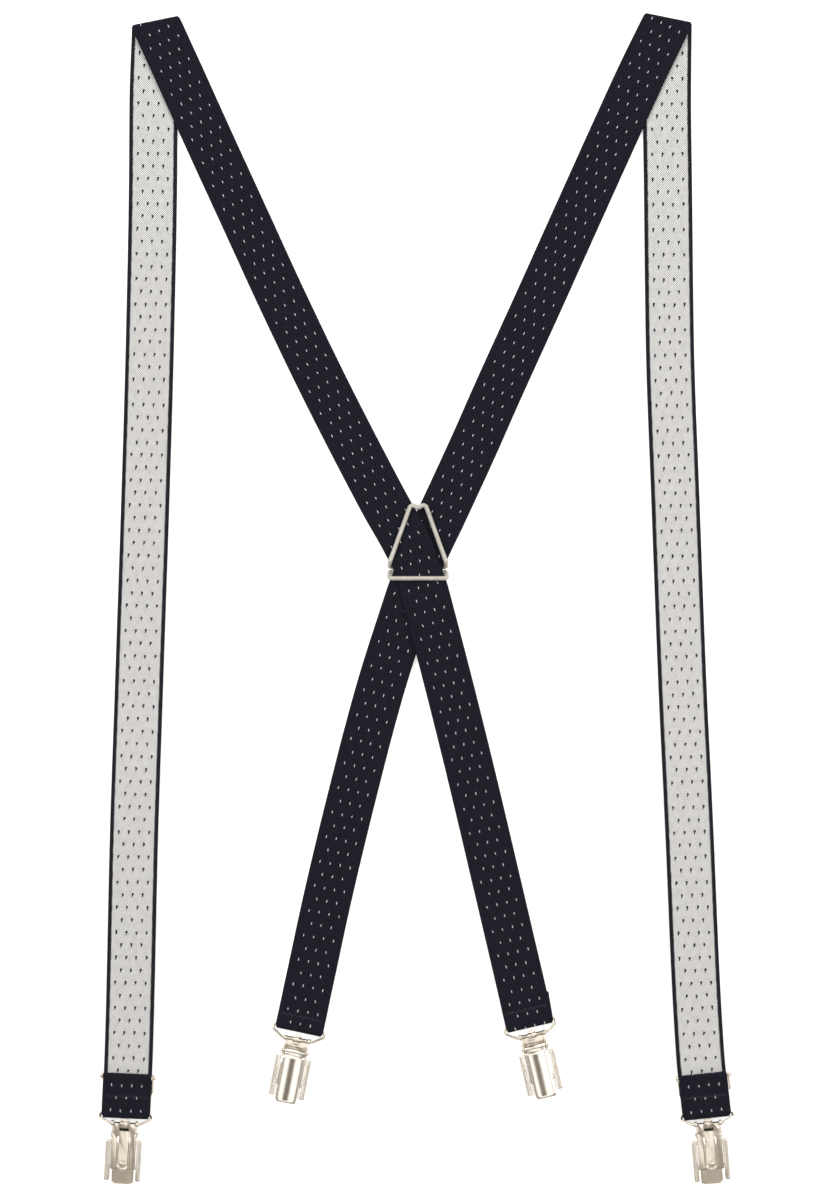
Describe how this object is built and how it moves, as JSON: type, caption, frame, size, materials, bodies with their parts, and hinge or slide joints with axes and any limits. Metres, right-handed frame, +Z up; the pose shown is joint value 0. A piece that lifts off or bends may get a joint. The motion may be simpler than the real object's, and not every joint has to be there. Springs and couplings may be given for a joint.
{
  "type": "clip suspenders",
  "caption": "X-back clip suspenders in narrow elastic webbing with a bent-wire crossing piece, lever clips on wire rings and sliding front adjusters, lying flat.",
  "frame": {"origin": "middle of the underside, on the surface that the suspenders lie on", "axes": "+X across, to the right as seen from above, +Y from the clips to the shoulders, +Z up from the surface"},
  "size_m": [0.328, 0.6065, 0.0099],
  "materials": {
    "elastic_webbing": "woven elastic, navy with white pin dots outside, pale grey with navy ticks inside",
    "thread": "navy sewing thread",
    "crossing_nickel": "satin nickel-plated wire",
    "nickel_wire": "bright nickel-plated wire",
    "nickel_sheet": "bright nickel-plated pressed steel",
    "nickel_teeth": "nickel-plated steel with fine teeth",
    "polished_nickel": "polished nickel-plated steel"
  },
  "bodies": {
    "straps": {"left_strap_front_run": "elastic_webbing", "left_strap_back_run": "elastic_webbing", "right_strap_front_run": "elastic_webbing", "right_strap_back_run": "elastic_webbing", "crossing_wire": "crossing_nickel", "left_back_stitching": "thread", "right_back_stitching": "thread"},
    "left_back_ring": {"left_back_ring": "nickel_wire"},
    "left_back_clip": {"left_back_base": "nickel_sheet", "left_back_back_jaw": "nickel_teeth", "left_back_jaw_rivet": "nickel_wire", "left_back_lever_pin": "nickel_wire", "left_back_jaw_pin": "nickel_wire"},
    "left_back_lever": {"left_back_lever": "polished_nickel"},
    "left_back_front_jaw": {"left_back_front_jaw": "nickel_teeth"},
    "right_back_ring": {"right_back_ring": "nickel_wire"},
    "right_back_clip": {"right_back_base": "nickel_sheet", "right_back_back_jaw": "nickel_teeth", "right_back_jaw_rivet": "nickel_wire", "right_back_lever_pin": "nickel_wire", "right_back_jaw_pin": "nickel_wire"},
    "right_back_lever": {"right_back_lever": "polished_nickel"},
    "right_back_front_jaw": {"right_back_front_jaw": "nickel_teeth"},
    "left_front_end": {"left_front_webbing": "elastic_webbing"},
    "left_front_adjuster": {"left_front_adjuster_frame": "nickel_sheet", "left_front_adjuster_pin": "nickel_wire", "left_front_stitching": "thread"},
    "left_front_adjuster_lever": {"left_front_adjuster_lever": "nickel_sheet"},
    "left_front_ring": {"left_front_ring": "nickel_wire"},
    "left_front_clip": {"left_front_base": "nickel_sheet", "left_front_back_jaw": "nickel_teeth", "left_front_jaw_rivet": "nickel_wire", "left_front_lever_pin": "nickel_wire", "left_front_jaw_pin": "nickel_wire"},
    "left_front_lever": {"left_front_lever": "polished_nickel"},
    "left_front_front_jaw": {"left_front_front_jaw": "nickel_teeth"},
    "right_front_end": {"right_front_webbing": "elastic_webbing"},
    "right_front_adjuster": {"right_front_adjuster_frame": "nickel_sheet", "right_front_adjuster_pin": "nickel_wire", "right_front_stitching": "thread"},
    "right_front_adjuster_lever": {"right_front_adjuster_lever": "nickel_sheet"},
    "right_front_ring": {"right_front_ring": "nickel_wire"},
    "right_front_clip": {"right_front_base": "nickel_sheet", "right_front_back_jaw": "nickel_teeth", "right_front_jaw_rivet": "nickel_wire", "right_front_lever_pin": "nickel_wire", "right_front_jaw_pin": "nickel_wire"},
    "right_front_lever": {"right_front_lever": "polished_nickel"},
    "right_front_front_jaw": {"right_front_front_jaw": "nickel_teeth"}
  },
  "joints": [
    {"name": "left_back_ring_swing", "type": "hinge", "parent": "straps", "child": "left_back_ring", "pos_m": [-0.0605, -0.2206, 0.0021], "axis": [-0.9816, 0.1908, 0], "range_deg": [0, 90]},
    {"name": "left_back_clip_swing", "type": "hinge", "parent": "left_back_ring", "child": "left_back_clip", "pos_m": [-0.06164, -0.22648, 0.00245], "axis": [-0.9816, 0.1908, 0], "range_deg": [0, 75]},
    {"name": "left_back_lever_turn", "type": "hinge", "parent": "left_back_clip", "child": "left_back_lever", "pos_m": [-0.06279, -0.23237, 0.00565], "axis": [0.9816, -0.1908, 0], "range_deg": [-100, 0]},
    {"name": "left_back_jaw_open", "type": "hinge", "parent": "left_back_clip", "child": "left_back_front_jaw", "pos_m": [-0.06296, -0.23325, 0.00315], "axis": [0.9816, -0.1908, 0], "range_deg": [-12, 0]},
    {"name": "right_back_ring_swing", "type": "hinge", "parent": "straps", "child": "right_back_ring", "pos_m": [0.0585, -0.2183, 0.0021], "axis": [-0.974, -0.2267, 0], "range_deg": [0, 90]},
    {"name": "right_back_clip_swing", "type": "hinge", "parent": "right_back_ring", "child": "right_back_clip", "pos_m": [0.05986, -0.22413, 0.00245], "axis": [-0.974, -0.2267, 0], "range_deg": [0, 75]},
    {"name": "right_back_lever_turn", "type": "hinge", "parent": "right_back_clip", "child": "right_back_lever", "pos_m": [0.06122, -0.22998, 0.00565], "axis": [0.974, 0.2267, 0], "range_deg": [-100, 0]},
    {"name": "right_back_jaw_open", "type": "hinge", "parent": "right_back_clip", "child": "right_back_front_jaw", "pos_m": [0.06142, -0.23085, 0.00315], "axis": [0.974, 0.2267, 0], "range_deg": [-12, 0]},
    {"name": "left_front_end_rise", "type": "slide", "parent": "straps", "child": "left_front_end", "axis": [0.0227, 0.9997, 0], "range_m": [0, 0.025], "deforming": ["left_front_webbing"]},
    {"name": "left_front_adjuster_slide", "type": "slide", "parent": "left_front_end", "child": "left_front_adjuster", "axis": [0.0227, 0.9997, 0], "range_m": [0, 0.025]},
    {"name": "left_front_adjuster_lever_turn", "type": "hinge", "parent": "left_front_adjuster", "child": "left_front_adjuster_lever", "pos_m": [-0.14925, -0.24522, 0.00095], "axis": [0.999, -0.0436, 0], "range_deg": [0, 80]},
    {"name": "left_front_ring_swing", "type": "hinge", "parent": "left_front_end", "child": "left_front_ring", "pos_m": [-0.1501, -0.2647, 0.00428], "axis": [-0.9983, 0.0576, 0], "range_deg": [0, 50]},
    {"name": "left_front_clip_swing", "type": "hinge", "parent": "left_front_ring", "child": "left_front_clip", "pos_m": [-0.15035, -0.26909, 0.00835], "axis": [-0.9983, 0.0576, 0], "range_deg": [0, 80]},
    {"name": "left_front_lever_turn", "type": "hinge", "parent": "left_front_clip", "child": "left_front_lever", "pos_m": [-0.15068, -0.27475, 0.0046], "axis": [0.9983, -0.0576, 0], "range_deg": [0, 100]},
    {"name": "left_front_jaw_open", "type": "hinge", "parent": "left_front_clip", "child": "left_front_front_jaw", "pos_m": [-0.15074, -0.27588, 0.007], "axis": [0.9983, -0.0576, 0], "range_deg": [0, 12]},
    {"name": "right_front_end_rise", "type": "slide", "parent": "straps", "child": "right_front_end", "axis": [-0.0637, 0.998, 0], "range_m": [0, 0.025], "deforming": ["right_front_webbing"]},
    {"name": "right_front_adjuster_slide", "type": "slide", "parent": "right_front_end", "child": "right_front_adjuster", "axis": [-0.0637, 0.998, 0], "range_m": [0, 0.025]},
    {"name": "right_front_adjuster_lever_turn", "type": "hinge", "parent": "right_front_adjuster", "child": "right_front_adjuster_lever", "pos_m": [0.14786, -0.24531, 0.00095], "axis": [0.9945, 0.1045, 0], "range_deg": [0, 80]},
    {"name": "right_front_ring_swing", "type": "hinge", "parent": "right_front_end", "child": "right_front_ring", "pos_m": [0.1499, -0.2647, 0.00428], "axis": [-0.9962, -0.0872, 0], "range_deg": [0, 50]},
    {"name": "right_front_clip_swing", "type": "hinge", "parent": "right_front_ring", "child": "right_front_clip", "pos_m": [0.15028, -0.26908, 0.00835], "axis": [-0.9962, -0.0872, 0], "range_deg": [0, 80]},
    {"name": "right_front_lever_turn", "type": "hinge", "parent": "right_front_clip", "child": "right_front_lever", "pos_m": [0.15078, -0.27473, 0.0046], "axis": [0.9962, 0.0872, 0], "range_deg": [0, 100]},
    {"name": "right_front_jaw_open", "type": "hinge", "parent": "right_front_clip", "child": "right_front_front_jaw", "pos_m": [0.15088, -0.27586, 0.007], "axis": [0.9962, 0.0872, 0], "range_deg": [0, 12]}
  ],
  "couplings": [
    {"joint": "left_back_jaw_open", "follows": "left_back_lever_turn", "ratio": 0.12},
    {"joint": "right_back_jaw_open", "follows": "right_back_lever_turn", "ratio": 0.12},
    {"joint": "left_front_end_rise", "follows": "left_front_adjuster_slide", "ratio": 1},
    {"joint": "left_front_jaw_open", "follows": "left_front_lever_turn", "ratio": 0.12},
    {"joint": "right_front_end_rise", "follows": "right_front_adjuster_slide", "ratio": 1},
    {"joint": "right_front_jaw_open", "follows": "right_front_lever_turn", "ratio": 0.12}
  ]
}
